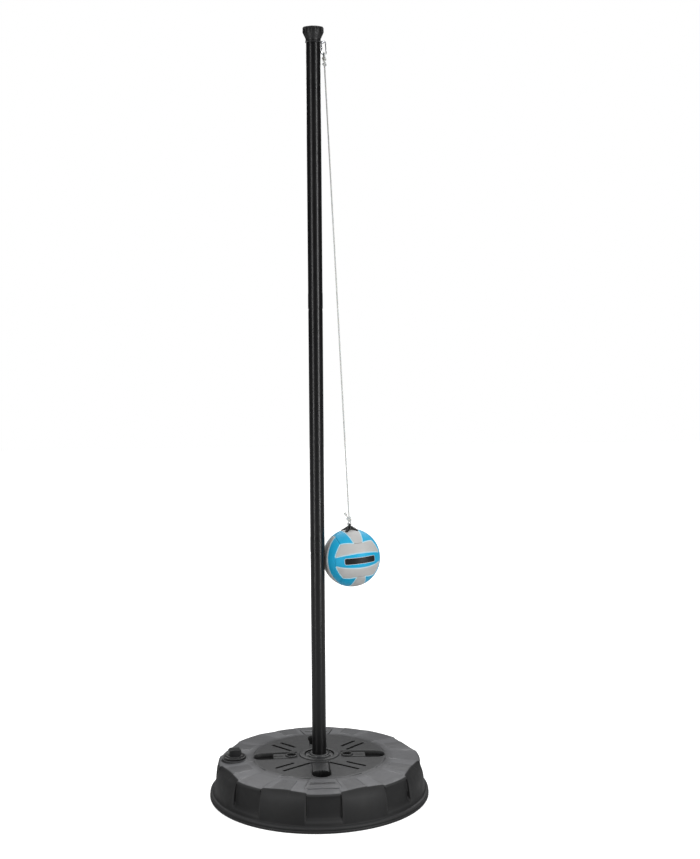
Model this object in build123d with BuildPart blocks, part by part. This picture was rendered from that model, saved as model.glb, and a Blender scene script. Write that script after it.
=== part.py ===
from build123d import *
import math
import os

# Portable tetherball set: a hollow, fillable round base, a three-piece steel
# pole, a capped swivel at the top, and a ball on a rope with a snap hook.
# Millimetres.  +Z up.  Origin: centre of the base's underside, on the pole axis.
# The front window of the base faces -Y and the fill cap is on the -X side.

os.makedirs("parts", exist_ok=True)

# ---------------------------------------------------------------- dimensions
# base tank
rim_r = 347.5            # outer radius of the bottom flange
wall = 3.5               # moulded wall thickness
foot_r = 336.0           # radius of the side wall just above the flange
flange_top = 18.0        # height of the flange
shoulder_z = 109.0       # height of the shoulder
window_count = 8         # recessed windows round the side wall
window_arc = 19.0        # degrees covered by one window
window_depth = 9.5       # how far a window is set back
hub_r = 64.0             # raised hub ring, outer radius
hub_in_r = 46.0          # raised hub ring, inner radius
hub_top = 128.0          # top of the hub ring
hub_floor = 119.0        # floor inside the hub ring
socket_r = 22.6          # pole socket radius
socket_floor = 14.0      # bottom of the pole socket
under_r = 118.0          # recess in the underside, radius
under_h = 16.0           # recess in the underside, height
boss_x = 88.0            # anchor bosses, on the X axis
boss_r = 19.5
boss_hole_r = 13.5
boss_top = 126.0
boss_floor = 112.5
bolt_hole_r = 4.6
fill_x = -268.0          # fill hole, on the -X side
fill_hole_r = 24.0
fill_seat_z = 119.5
fill_seat_r = 40.0

# pole
pole_r = 22.225          # 1.75 in tube
tube_wall = 1.6
section = 758.0          # spacing of the pole joints
overlap = 40.0           # how far one section slips over the next
pole_z0 = 20.0           # lower end of the lower tube
swage_r = 21.05          # outer radius of a reduced upper end
flare_in_r = 21.15       # inner radius of a widened lower end
flare_r = 22.75          # outer radius of a widened lower end

# pole cap and swivel
cap_skirt_z = 2340.0
cap_top_z = 2383.0
cap_r = 32.0
neck_r = 19.5
ring_wire = 4.0
ring_r = 22.8            # centreline radius of the swivel ring
eye_r = 33.0             # centreline radius of the swivel's eye end
ring_z = 2336.4

# snap hook
hook_wire = 3.6
hook_half = 6.9          # half width between the leg centrelines
hook_top = 3.95          # top wire centreline above the eye's centre
hook_bottom = 34.5       # bottom wire centreline below the eye's centre
gate_r = 2.3

# rope
rope_d = 4.8
tether_az = 19.0         # direction in which the ball hangs, degrees from +X

# ball
ball_r = 91.5
ball_gap = 0.4           # ball to pole
ball_z = 750.0
panel_t = 2.6
front_az = -72.55        # direction of the ball's front face
front_el = 4.9           # and its tilt upwards
loop_z = 108.25          # pivot bar of the ball's eyelet above the ball centre


# ------------------------------------------------------------------- helpers
def radial_plane(angle, origin=(0, 0, 0)):
    """Plane holding the Z axis: local x is outward at this angle, local y is up."""
    a = math.radians(angle)
    return Plane(
        origin=origin,
        x_dir=(math.cos(a), math.sin(a), 0),
        z_dir=(math.sin(a), -math.cos(a), 0),
    )


def place(frame, local):
    """A local plane carried into a tilted frame."""
    return Plane(frame.location * local.location)


def closed(points):
    Polyline(*points, close=True)


def polar(r, angle):
    """Point in a plane at this radius and angle."""
    return (r * math.cos(math.radians(angle)), r * math.sin(math.radians(angle)))


top_z0 = pole_z0
lower_top = pole_z0 + section + overlap
middle_z0 = pole_z0 + section
middle_top = middle_z0 + section + overlap
upper_z0 = middle_z0 + section
upper_top = upper_z0 + section + overlap

ta = math.radians(tether_az)
out = Vector(math.cos(ta), math.sin(ta), 0)           # outward, towards the ball
side = Vector(-math.sin(ta), math.cos(ta), 0)         # round the pole
ball_dist = pole_r + ball_gap + ball_r
eye = out * eye_r + Vector(0, 0, ring_z)
ball_centre = out * ball_dist + Vector(0, 0, ball_z)
line = (eye - ball_centre).normalized()               # up the tether
tilt_out = (out - line * out.dot(line)).normalized()
hook_frame = Plane(origin=eye, x_dir=tilt_out, z_dir=line)
hook_low = eye - line * hook_bottom
rope_frame = Plane(origin=hook_low, x_dir=tilt_out, z_dir=line)
fa, fe = math.radians(front_az), math.radians(front_el)
front = Vector(math.cos(fa), math.sin(fa), 0)
front = (front - line * front.dot(line)).normalized()
ball_frame = Plane(origin=ball_centre, x_dir=front, z_dir=line)
strap_frame = Plane(origin=ball_centre, x_dir=tilt_out, z_dir=line)
ball_pivot = ball_centre + line * loop_z

# ===================================================================== BASE
# outer profile (radius, height) of the proud panels
outer = [
    (0, 0), (rim_r - 1.5, 0), (rim_r, 1.5), (rim_r, 7.5), (rim_r - 2.5, 9.0),
    (rim_r - 1.0, 10.5), (rim_r - 1.0, 15.5), (rim_r - 4.0, flange_top),
    (foot_r + 1.0, flange_top + 2.0), (foot_r, flange_top + 5.0),
    (332.5, 75.0), (328.0, 91.0), (320.0, 104.0), (308.0, shoulder_z + 2.0),
    (280.0, 115.0), (200.0, 121.0), (hub_r, 124.0), (0, 124.0),
]
# inside of the tank behind the windows, and behind the proud panels
inner_window = [
    (socket_r + wall, under_h + wall), (under_r + wall, under_h + wall),
    (under_r + wall, wall), (331.0, wall), (331.0, 28.0), (319.5, 39.0),
    (315.5, 99.0), (305.0, 107.0), (280.0, 111.0), (200.0, 117.0),
    (hub_r + 2.0, 120.0), (hub_r - 4.0, 115.5), (socket_r + wall, 115.5),
]
inner_proud = [
    (300.0, 30.0), (332.0, 24.0), (328.8, 75.0), (324.6, 89.5),
    (317.3, 101.5), (306.5, 107.4), (300.0, 107.8),
]


with BuildPart() as tank:
    with BuildSketch(Plane.XZ):
        with BuildLine():
            closed(inner_window)
        make_face()
    revolve(axis=Axis.Z)
    for k in range(window_count):
        start = 360 / window_count * (k + 0.5) - (45 - window_arc - 1.6) / 2
        with BuildSketch(radial_plane(start)):
            with BuildLine():
                closed(inner_proud)
            make_face()
        revolve(axis=Axis((0, 0, 0), (0, 0, 1)), revolution_arc=45 - window_arc - 1.6)
    # material round the anchor bosses and their bolt columns
    with BuildSketch(Plane.XY.offset(boss_floor - wall)):
        with Locations((boss_x, 0), (-boss_x, 0)):
            Circle(boss_r)
    extrude(amount=20, mode=Mode.SUBTRACT)
    with BuildSketch(Plane.XY.offset(under_h)):
        with Locations((boss_x, 0), (-boss_x, 0)):
            Circle(bolt_hole_r + wall)
    extrude(amount=110, mode=Mode.SUBTRACT)
    # material under the side channels and their pockets
    with BuildSketch(Plane.XY.offset(106.5)):
        for s in (-1, 1):
            with Locations((s * 122.0, 0)):
                Rectangle(124.0, 67.0)
            with Locations((s * 178.0, 0)):
                Circle(33.5)
    extrude(amount=20, mode=Mode.SUBTRACT)
    # material round the front and back pockets and their ramps
    with BuildSketch(Plane.XY.offset(36.0)):
        for s in (-1, 1):
            with Locations((0, s * 164.0)):
                SlotOverall(80.0, 65.0, rotation=90)
    extrude(amount=94, mode=Mode.SUBTRACT)
    with BuildSketch(Plane.XY.offset(104.0)):
        for s in (-1, 1):
            with Locations((0, s * 108.0)):
                Rectangle(62.0, 84.0)
    extrude(amount=20, mode=Mode.SUBTRACT)
    # material under the fill seat and its neck
    with BuildSketch(Plane.XY.offset(92.0)):
        with Locations((fill_x, 0)):
            Circle(fill_hole_r + wall)
    extrude(amount=40, mode=Mode.SUBTRACT)

with BuildPart() as base_shell:
    with BuildSketch(Plane.XZ):
        with BuildLine():
            closed(outer)
        make_face()
    revolve(axis=Axis.Z)
    # hub ring
    with BuildSketch(Plane.XY.offset(120.0)):
        Circle(hub_r)
    extrude(amount=hub_top - 120.0, taper=8)
    # fill seat
    with BuildSketch(Plane.XY.offset(106.0)):
        with Locations((fill_x, 0)):
            Circle(fill_seat_r)
    extrude(amount=fill_seat_z - 106.0)
    # windows in the side wall, with a sloped ledge at the bottom
    for k in range(window_count):
        with BuildSketch(radial_plane(360 / window_count * k - window_arc / 2)):
            with BuildLine():
                closed([
                    (352, 30.0), (335.4, 30.0), (foot_r - window_depth - 1.5, 40.0),
                    (320.5, 100.5), (320.5, 113.0), (352, 113.0),
                ])
            make_face()
        revolve(
            axis=Axis((0, 0, 0), (0, 0, 1)),
            revolution_arc=window_arc,
            mode=Mode.SUBTRACT,
        )
    # trapezoid plaques on the front and back, left plain
    for s in (-1, 1):
        with BuildSketch(Plane.XY.offset(105.0)):
            with BuildLine():
                closed([(-45.8, s * 240), (-57, s * 283), (57, s * 283), (45.8, s * 240)])
            make_face()
        extrude(amount=13.2)
    # side channels with a rounded pocket at the outer end
    with BuildSketch(Plane.XY.offset(114.0)):
        for s in (-1, 1):
            with Locations((s * 128.0, 0)):
                Rectangle(100.0, 60.0)
            with Locations((s * 178.0, 0)):
                Circle(30.0)
    extrude(amount=20, mode=Mode.SUBTRACT)
    with BuildSketch(Plane.XY.offset(110.0)):
        for s in (-1, 1):
            with Locations((s * 162.5, 0)):
                Rectangle(31.0, 56.0)
            with Locations((s * 178.0, 0)):
                Circle(28.0)
    extrude(amount=20, mode=Mode.SUBTRACT)
    # tongue from each boss to the pocket, with a thin groove
    with BuildSketch(Plane.XY.offset(112.0)):
        for s in (-1, 1):
            with Locations((s * 108.0, 0)):
                Rectangle(78.0, 40.0)
    extrude(amount=9.5)
    with BuildSketch(Plane.XY.offset(118.5)):
        for s in (-1, 1):
            with Locations((s * 131.0, 0)):
                SlotOverall(28.0, 6.0)
    extrude(amount=10, mode=Mode.SUBTRACT)
    # anchor bosses
    with BuildSketch(Plane.XY.offset(112.0)):
        with Locations((boss_x, 0), (-boss_x, 0)):
            Circle(boss_r)
    extrude(amount=boss_top - 112.0)
    with BuildSketch(Plane.XY.offset(boss_floor)):
        with Locations((boss_x, 0), (-boss_x, 0)):
            Circle(boss_hole_r)
    extrude(amount=30, mode=Mode.SUBTRACT)
    # front and back ramps running down into deep pockets
    for a in (-90, 90):
        with BuildSketch(radial_plane(a)):
            with BuildLine():
                closed([(68, 130), (68, 120.5), (150, 108.0), (150, 130)])
            make_face()
        extrude(amount=27.5, both=True, mode=Mode.SUBTRACT)
    with BuildSketch(Plane.XY.offset(40.0)):
        for s in (-1, 1):
            with Locations((0, s * 164.0)):
                SlotOverall(73.0, 58.0, rotation=90)
    extrude(amount=94, mode=Mode.SUBTRACT)
    # pairs of thin grooves in each quadrant
    for x0, y0, x1, y1 in (
        (77, 79, 118, 126), (92, 45, 146, 107),
        (86, 74, 136, 108), (31, 77, 113, 134),
    ):
        for sx in (-1, 1):
            sy = 1 if (x0, y0) in ((77, 79), (92, 45)) else -1
            length = math.hypot(x1 - x0, y1 - y0) + 6
            turn = math.degrees(math.atan2(sy * (y1 - y0), sx * (x1 - x0)))
            with BuildSketch(Plane.XY.offset(119.6)):
                with Locations((sx * (x0 + x1) / 2, sy * (y0 + y1) / 2)):
                    SlotOverall(length, 6.0, rotation=turn)
            extrude(amount=10, mode=Mode.SUBTRACT)
    # recess inside the hub ring for the collar, and the pole socket
    with BuildSketch(Plane.XY.offset(hub_floor)):
        Circle(hub_in_r)
    extrude(amount=20, mode=Mode.SUBTRACT)
    # tank inside
    add(tank.part, mode=Mode.SUBTRACT)
    with BuildSketch(Plane.XY.offset(socket_floor)):
        Circle(socket_r)
    extrude(amount=140, mode=Mode.SUBTRACT)
    # recess in the underside for the foot strap
    with BuildSketch(Plane.XY):
        Circle(under_r)
        Circle(46.0, mode=Mode.SUBTRACT)
    extrude(amount=under_h, mode=Mode.SUBTRACT)
    with BuildSketch(Plane.XY):
        Circle(47.0)
    extrude(amount=9.0, mode=Mode.SUBTRACT)
    # bolt holes down to the recess
    with BuildSketch(Plane.XY.offset(5)):
        with Locations((boss_x, 0), (-boss_x, 0)):
            Circle(bolt_hole_r)
    extrude(amount=115, mode=Mode.SUBTRACT)
    # fill hole
    with BuildSketch(Plane.XY.offset(85.0)):
        with Locations((fill_x, 0)):
            Circle(fill_hole_r)
    extrude(amount=50, mode=Mode.SUBTRACT)
base_shell.part.label = "base_shell"
export_step(base_shell.part, "parts/base_shell.step")

# steel strap under the base that the anchor bolts pull up against the tank
with BuildPart() as foot_strap:
    with BuildSketch(Plane.XZ):
        with BuildLine():
            closed([
                (-112, 12.0), (-58, 12.0), (-50, 5.0), (50, 5.0), (58, 12.0), (112, 12.0),
                (112, 16.0), (56.4, 16.0), (48.4, 9.0), (-48.4, 9.0), (-56.4, 16.0), (-112, 16.0),
            ])
        make_face()
    extrude(amount=22, both=True)
    with BuildSketch(Plane.XY.offset(0)):
        with Locations((boss_x, 0), (-boss_x, 0)):
            Circle(bolt_hole_r)
    extrude(amount=30, mode=Mode.SUBTRACT)
foot_strap.part.label = "foot_strap"
export_step(foot_strap.part, "parts/foot_strap.step")

# hexagon anchor bolts, washers and nuts, two of each
with BuildPart() as anchor_bolts:
    for s in (-1, 1):
        with BuildSketch(Plane.XY.offset(3.6)):
            with Locations((s * boss_x, 0)):
                Circle(4.0)
        extrude(amount=boss_floor + 1.6 - 3.6)
        with BuildSketch(Plane.XY.offset(boss_floor + 1.6)):
            with Locations((s * boss_x, 0)):
                RegularPolygon(7.5, 6)
        extrude(amount=5.3)
anchor_bolts.part.label = "anchor_bolts"
export_step(anchor_bolts.part, "parts/anchor_bolts.step")

with BuildPart() as anchor_washers:
    with BuildSketch(Plane.XY.offset(boss_floor)):
        with Locations((boss_x, 0), (-boss_x, 0)):
            Circle(11.5)
            Circle(4.3, mode=Mode.SUBTRACT)
    extrude(amount=1.6)
anchor_washers.part.label = "anchor_washers"
export_step(anchor_washers.part, "parts/anchor_washers.step")

with BuildPart() as anchor_nuts:
    with BuildSketch(Plane.XY.offset(12.0 - 6.5)):
        with Locations((boss_x, 0), (-boss_x, 0)):
            RegularPolygon(7.5, 6)
            Circle(4.03, mode=Mode.SUBTRACT)
    extrude(amount=6.5)
anchor_nuts.part.label = "anchor_nuts"
export_step(anchor_nuts.part, "parts/anchor_nuts.step")

# collar round the foot of the pole, with four arc slots
with BuildPart() as pole_collar:
    with BuildSketch(Plane.XZ):
        with BuildLine():
            closed([
                (socket_r, hub_floor), (hub_in_r - 1.2, hub_floor), (hub_in_r - 1.2, 122.5),
                (hub_in_r - 3.0, 124.5), (31.0, 125.5), (29.5, 129.0), (27.5, 130.5),
                (socket_r + 0.6, 130.5), (socket_r, 129.9),
            ])
        make_face()
    revolve(axis=Axis.Z)
    for a in (45, 135, 225, 315):
        with BuildSketch(Plane.XY.offset(121.5)):
            with BuildLine():
                CenterArc((0, 0), 40.0, a - 28, 56)
                CenterArc((0, 0), 34.0, a - 28, 56)
                Line(polar(34.0, a - 28), polar(40.0, a - 28))
                Line(polar(34.0, a + 28), polar(40.0, a + 28))
            make_face()
        extrude(amount=10, mode=Mode.SUBTRACT)
pole_collar.part.label = "pole_collar"
export_step(pole_collar.part, "parts/pole_collar.step")

# ================================================================= FILL CAP
cap_seat = fill_seat_z + 2.0
with BuildPart() as fill_cap_gasket:
    with BuildSketch(Plane.XY.offset(fill_seat_z + 0.05)):
        with Locations((fill_x, 0)):
            Circle(33.0)
            Circle(fill_hole_r + 0.5, mode=Mode.SUBTRACT)
    extrude(amount=1.9)
fill_cap_gasket.part.label = "fill_cap_gasket"
export_step(fill_cap_gasket.part, "parts/fill_cap_gasket.step")

# screw cap: two-step flange, block grip with a bevelled ridge, hollow plug
with BuildPart() as fill_cap:
    with BuildSketch(Plane(origin=(fill_x, 0, 0), x_dir=(1, 0, 0), z_dir=(0, -1, 0))):
        with BuildLine():
            closed([
                (0, cap_seat - 3), (20.0, cap_seat - 3), (20.0, cap_seat - 22), (23.2, cap_seat - 22),
                (23.2, cap_seat), (34.5, cap_seat), (36.0, cap_seat + 1.5), (36.0, cap_seat + 4.0),
                (34.5, cap_seat + 5.5), (30.5, cap_seat + 5.5), (29.5, cap_seat + 6.5),
                (29.5, cap_seat + 8.0), (28.0, cap_seat + 9.5), (0, cap_seat + 9.5),
            ])
        make_face()
    revolve(axis=Axis((fill_x, 0, 0), (0, 0, 1)))
    grip = Plane(origin=(fill_x, 0, cap_seat + 9.0), x_dir=(math.cos(0.2), math.sin(0.2), 0), z_dir=(0, 0, 1))
    with BuildSketch(grip):
        RectangleRounded(40.0, 26.0, 3.0)
    extrude(amount=17.0, taper=3)
    with BuildSketch(grip.offset(17.0)):
        RectangleRounded(37.0, 23.0, 3.0)
    with BuildSketch(grip.offset(23.0)):
        RectangleRounded(30.0, 8.0, 3.0)
    loft()
fill_cap.part.label = "fill_cap"
export_step(fill_cap.part, "parts/fill_cap.step")

# ===================================================================== POLE
in_r = pole_r - tube_wall
with BuildPart() as lower_tube:
    with BuildSketch(Plane.XZ):
        with BuildLine():
            closed([
                (in_r, pole_z0), (pole_r, pole_z0), (pole_r, middle_z0 - 9.0),
                (21.7, middle_z0 - 2.5), (swage_r, middle_z0 + 5.0),
                (swage_r, lower_top - 1.0), (swage_r - 0.8, lower_top), (swage_r - tube_wall, lower_top),
                (swage_r - tube_wall, middle_z0 + 5.0), (in_r, middle_z0 - 9.0),
            ])
        make_face()
    revolve(axis=Axis.Z)
lower_tube.part.label = "lower_tube"
export_step(lower_tube.part, "parts/lower_tube.step")

# plastic foot pressed into the lower tube
with BuildPart() as pole_foot:
    with BuildSketch(Plane.XZ):
        with BuildLine():
            closed([
                (8.0, socket_floor + 0.5), (21.8, socket_floor + 0.5), (21.8, pole_z0),
                (in_r - 0.02, pole_z0), (in_r - 0.02, pole_z0 + 22), (17.5, pole_z0 + 24),
                (17.5, pole_z0 + 2), (8.0, pole_z0 + 2),
            ])
        make_face()
    revolve(axis=Axis.Z)
pole_foot.part.label = "pole_foot"
export_step(pole_foot.part, "parts/pole_foot.step")

with BuildPart() as middle_tube:
    with BuildSketch(Plane.XZ):
        with BuildLine():
            closed([
                (flare_in_r + 0.6, middle_z0), (flare_r - 0.4, middle_z0), (flare_r, middle_z0 + 1.0),
                (flare_r, lower_top + 3.0), (pole_r, lower_top + 11.0), (pole_r, upper_z0 - 9.0),
                (21.7, upper_z0 - 2.5), (swage_r, upper_z0 + 5.0), (swage_r, middle_top - 1.0),
                (swage_r - 0.8, middle_top), (swage_r - tube_wall, middle_top),
                (swage_r - tube_wall, upper_z0 + 5.0), (in_r, upper_z0 - 9.0),
                (in_r, lower_top + 11.0), (flare_in_r, lower_top + 3.0),
                (flare_in_r, middle_z0 + 6.0), (flare_in_r + 0.6, middle_z0 + 1.0),
            ])
        make_face()
    revolve(axis=Axis.Z)
middle_tube.part.label = "middle_tube"
export_step(middle_tube.part, "parts/middle_tube.step")

with BuildPart() as upper_tube:
    with BuildSketch(Plane.XZ):
        with BuildLine():
            closed([
                (flare_in_r + 0.6, upper_z0), (flare_r - 0.4, upper_z0), (flare_r, upper_z0 + 1.0),
                (flare_r, middle_top + 3.0), (pole_r, middle_top + 11.0), (pole_r, upper_top - 0.5),
                (pole_r - 0.5, upper_top), (in_r, upper_top),
                (in_r, middle_top + 11.0), (flare_in_r, middle_top + 3.0),
                (flare_in_r, upper_z0 + 6.0), (flare_in_r + 0.6, upper_z0 + 1.0),
            ])
        make_face()
    revolve(axis=Axis.Z)
upper_tube.part.label = "upper_tube"
export_step(upper_tube.part, "parts/upper_tube.step")

# moulded cap: plug, neck for the swivel, flared and fluted head
with BuildPart() as pole_cap:
    with BuildSketch(Plane.XZ):
        with BuildLine():
            closed([
                (0, upper_top - 8), (17.0, upper_top - 8), (17.0, upper_top - 42),
                (in_r - 0.6, upper_top - 42), (in_r - 0.02, upper_top - 40), (in_r - 0.02, upper_top - 0.8),
                (neck_r, upper_top), (neck_r, cap_skirt_z),
                (22.8, cap_skirt_z), (23.3, cap_skirt_z + 0.6), (23.3, cap_skirt_z + 6.0),
                (24.6, cap_skirt_z + 8.0), (30.8, cap_top_z - 22.0), (cap_r, cap_top_z - 19.0),
                (cap_r, cap_top_z - 6.5), (30.2, cap_top_z - 3.2), (18.0, cap_top_z - 0.6), (0, cap_top_z),
            ])
        make_face()
    revolve(axis=Axis.Z)
    with BuildSketch(Plane.XY.offset(cap_skirt_z + 8.0)):
        with PolarLocations(37.5, 12, 15):
            Circle(7.0)
    extrude(amount=60, mode=Mode.SUBTRACT)
pole_cap.part.label = "pole_cap"
export_step(pole_cap.part, "parts/pole_cap.step")

# ======================================================= SWIVEL AND SNAP HOOK
# keyhole-shaped wire: round the neck, and out to an eye with a straight end
mouth = 7.2                                   # half width of the eye, centreline
bend = 3.0                                    # bend radius of the wire
bend_x = math.sqrt((ring_r + bend) ** 2 - (mouth + bend) ** 2)
bend_a = math.degrees(math.atan2(mouth + bend, bend_x))
ring_plane = Plane(origin=(0, 0, ring_z), x_dir=tuple(out), z_dir=(0, 0, 1))
with BuildPart() as swivel_ring:
    with BuildLine(ring_plane) as ring_path:
        CenterArc((0, 0), ring_r, bend_a, 360 - 2 * bend_a)
        CenterArc((bend_x, mouth + bend), bend, 180 + bend_a, 90 - bend_a)
        CenterArc((bend_x, -mouth - bend), bend, 90, 90 - bend_a)
        Line((bend_x, mouth), (eye_r - bend, mouth))
        Line((bend_x, -mouth), (eye_r - bend, -mouth))
        CenterArc((eye_r - bend, mouth - bend), bend, 0, 90)
        CenterArc((eye_r - bend, -mouth + bend), bend, -90, 90)
        Line((eye_r, mouth - bend), (eye_r, -mouth + bend))
    with BuildSketch(Plane(origin=eye, x_dir=tuple(out), z_dir=tuple(side))):
        Circle(ring_wire / 2)
    sweep(path=ring_path.wires()[0])
swivel_ring.part.label = "swivel_ring"
export_step(swivel_ring.part, "parts/swivel_ring.step")

# snap hook: bent wire, open on the pole side where the gate closes it
hook_side = Plane(origin=eye, x_dir=tuple(tilt_out), z_dir=tuple(tilt_out.cross(line)))
gate_low = -hook_bottom + 9.0
gate_high = hook_top - 9.5
with BuildPart() as hook_body:
    with BuildLine(hook_side) as hook_path:
        Line((-hook_half, gate_high + 0.0), (-hook_half, hook_top - 4.0))
        CenterArc((-hook_half + 4.0, hook_top - 4.0), 4.0, 90, 90)
        Line((-hook_half + 4.0, hook_top), (hook_half - 4.0, hook_top))
        CenterArc((hook_half - 4.0, hook_top - 4.0), 4.0, 0, 90)
        Line((hook_half, hook_top - 4.0), (hook_half, -hook_bottom + 4.4))
        CenterArc((hook_half - 4.4, -hook_bottom + 4.4), 4.4, -90, 90)
        Line((hook_half - 4.4, -hook_bottom), (-hook_half + 4.4, -hook_bottom))
        CenterArc((-hook_half + 4.4, -hook_bottom + 4.4), 4.4, 180, 90)
        Line((-hook_half, -hook_bottom + 4.4), (-hook_half, gate_low - 3.2))
    with BuildSketch(Plane(
        origin=eye - tilt_out * hook_half + line * gate_high, x_dir=tuple(tilt_out), z_dir=tuple(line)
    )):
        Circle(hook_wire / 2)
    sweep(path=hook_path.wires()[0], transition=Transition.RIGHT)
    # two cheeks that carry the gate's pin
    for s in (-1, 1):
        with BuildSketch(hook_side.offset(s * 2.55 - (0.0 if s > 0 else 0.9))):
            with Locations((-hook_half, gate_low - 1.7)):
                SlotOverall(8.4, 4.6, rotation=90)
        extrude(amount=0.9)
    with BuildSketch(hook_side.offset(-3.45)):
        with Locations((-hook_half, gate_low - 4.4)):
            Circle(1.5)
    extrude(amount=6.9)
    with BuildSketch(hook_side.offset(-6)):
        with Locations((-hook_half, gate_low)):
            Circle(0.85)
    extrude(amount=12, mode=Mode.SUBTRACT)
hook_body.part.label = "hook_body"
export_step(hook_body.part, "parts/hook_body.step")

# gate: a barrel that closes the pole side, hollow at its foot for the spring
gate_foot = gate_low - 1.5
gate_top = gate_high - 0.35
gate_plane = Plane(origin=eye - tilt_out * hook_half + line * gate_foot, x_dir=tilt_out, z_dir=line)
with BuildPart() as hook_gate:
    with BuildSketch(gate_plane):
        Circle(gate_r)
    extrude(amount=gate_top - gate_foot)
    fillet(hook_gate.edges().filter_by(GeomType.CIRCLE), 0.7)
    with BuildSketch(gate_plane.offset(3.6)):
        Circle(1.35)
    extrude(amount=12.0, mode=Mode.SUBTRACT)
    with BuildSketch(hook_side.offset(-6)):
        with Locations((-hook_half, gate_low)):
            Circle(0.9)
    extrude(amount=12, mode=Mode.SUBTRACT)
hook_gate.part.label = "hook_gate"
export_step(hook_gate.part, "parts/hook_gate.step")

# spring in the gate's foot: a sleeve of the coil's outer and inner size
with BuildPart() as gate_spring:
    with BuildSketch(gate_plane.offset(3.9)):
        Circle(1.2)
        Circle(0.76, mode=Mode.SUBTRACT)
    extrude(amount=11.2)
gate_spring.part.label = "gate_spring"
export_step(gate_spring.part, "parts/gate_spring.step")

# pin riveted through the cheeks
with BuildPart() as gate_pin:
    with BuildSketch(hook_side.offset(-3.6)):
        with Locations((-hook_half, gate_low)):
            Circle(0.82)
    extrude(amount=7.2)
    for z in (-4.2, 3.5):
        with BuildSketch(hook_side.offset(z)):
            with Locations((-hook_half, gate_low)):
                Circle(1.5)
        extrude(amount=0.7)
gate_pin.part.label = "gate_pin"
export_step(gate_pin.part, "parts/gate_pin.step")

# ===================================================================== ROPE
# upper knot: the loop round the hook's bottom wire, and two knots below it
loop_up = hook_wire / 2 + 0.5 + rope_d / 2
with BuildPart() as upper_knot:
    with BuildSketch(Plane(origin=hook_low, x_dir=tuple(line), z_dir=tuple(tilt_out.cross(line)))):
        with Locations((-loop_up, 0)):
            Circle(rope_d / 2)
    revolve(axis=Axis(hook_low, tilt_out))
    with BuildSketch(Plane(origin=hook_low, x_dir=tuple(tilt_out), z_dir=tuple(tilt_out.cross(line)))):
        with BuildLine():
            closed([
                (0, -loop_up - 1.0), (3.2, -loop_up - 1.2), (6.0, -loop_up - 3.8), (6.6, -loop_up - 7.5),
                (5.4, -loop_up - 12.5), (2.8, -loop_up - 15.5), (2.6, -loop_up - 18.5),
                (5.0, -loop_up - 20.5), (6.0, -loop_up - 24.5), (5.0, -loop_up - 28.5),
                (2.6, -loop_up - 31.0), (0, -loop_up - 31.0),
            ])
        make_face()
    revolve(axis=Axis(hook_low, line))
upper_knot.part.label = "upper_knot"
export_step(upper_knot.part, "parts/upper_knot.step")

# lower loop: the rope through the ball's eyelet
loop_low = 5.5
low_knot_h = 19.0
with BuildPart() as lower_loop:
    with BuildSketch(Plane(origin=ball_pivot, x_dir=tuple(line), z_dir=tuple(side.cross(line)))):
        with Locations((-loop_low, 0)):
            Circle(rope_d / 2)
    revolve(axis=Axis(ball_pivot, side))
lower_loop.part.label = "lower_loop"
export_step(lower_loop.part, "parts/lower_loop.step")

# lower knot, with the rope's short free end standing out towards the pole
knot_base = loop_low + rope_d / 2 + 0.05
tail_dir = (line * 0.86 - tilt_out * 0.50).normalized()
with BuildPart() as lower_knot:
    with BuildSketch(Plane(origin=ball_pivot, x_dir=tuple(side), z_dir=tuple(side.cross(line)))):
        with BuildLine():
            closed([
                (0, knot_base), (4.2, knot_base), (6.4, loop_low + 5.0), (7.0, loop_low + 8.5),
                (5.6, loop_low + 14.0), (3.0, loop_low + low_knot_h), (0, loop_low + low_knot_h),
            ])
        make_face()
    revolve(axis=Axis(ball_pivot, line))
    with BuildSketch(Plane(origin=ball_pivot + line * (loop_low + 8.0), z_dir=tuple(tail_dir))):
        Circle(2.3)
    extrude(amount=19.0)
    with BuildSketch(Plane(origin=ball_pivot + line * (loop_low + 8.0) + tail_dir * 18.0, z_dir=tuple(tail_dir))):
        Circle(4.4)
    extrude(amount=9.0)
    chamfer(lower_knot.faces().filter_by(Axis((0, 0, 0), tuple(tail_dir))).sort_by(Axis((0, 0, 0), tuple(tail_dir)))[-1].edges(), 2.0)
lower_knot.part.label = "lower_knot"
export_step(lower_knot.part, "parts/lower_knot.step")

# the taut run of the rope: one straight length between the knots
rope_top = hook_low - line * (loop_up + 31.0)
rope_end = ball_pivot + line * (loop_low + low_knot_h)
rope_length = (rope_top - rope_end).length
with BuildPart() as tether_rope:
    with BuildSketch(Plane(origin=rope_end, z_dir=tuple(line))):
        Circle(rope_d / 2)
    extrude(amount=rope_length)
tether_rope.part.label = "tether_rope"
export_step(tether_rope.part, "parts/tether_rope.step")
print("rope: one straight run", round(rope_length, 1), "mm, no arcs; volume",
      round(tether_rope.part.volume), "section x length", round(math.pi * rope_d ** 2 / 4 * rope_length))
print("rope from", tuple(round(v, 2) for v in rope_top), "to", tuple(round(v, 2) for v in rope_end))
print("hook low", tuple(round(v, 2) for v in hook_low), "eye", tuple(round(v, 2) for v in eye))
print("ball centre", tuple(round(v, 2) for v in ball_centre), "pivot", tuple(round(v, 2) for v in ball_pivot))
print("line", tuple(round(v, 5) for v in line), "tilt_out", tuple(round(v, 5) for v in tilt_out))
print("gate pivot", tuple(round(v, 2) for v in (eye - tilt_out * hook_half + line * gate_low)))

# ===================================================================== BALL
front_v = Vector(math.cos(fa) * math.cos(fe), math.sin(fa) * math.cos(fe), math.sin(fe))
up_v = (line - front_v * line.dot(front_v)).normalized()
side_v = up_v.cross(front_v)                  # the ball's left-hand side face
seam = 0.35
pole_aside = (90, 0, 0)
t15, t45 = math.tan(math.radians(15)), 1.0


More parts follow.
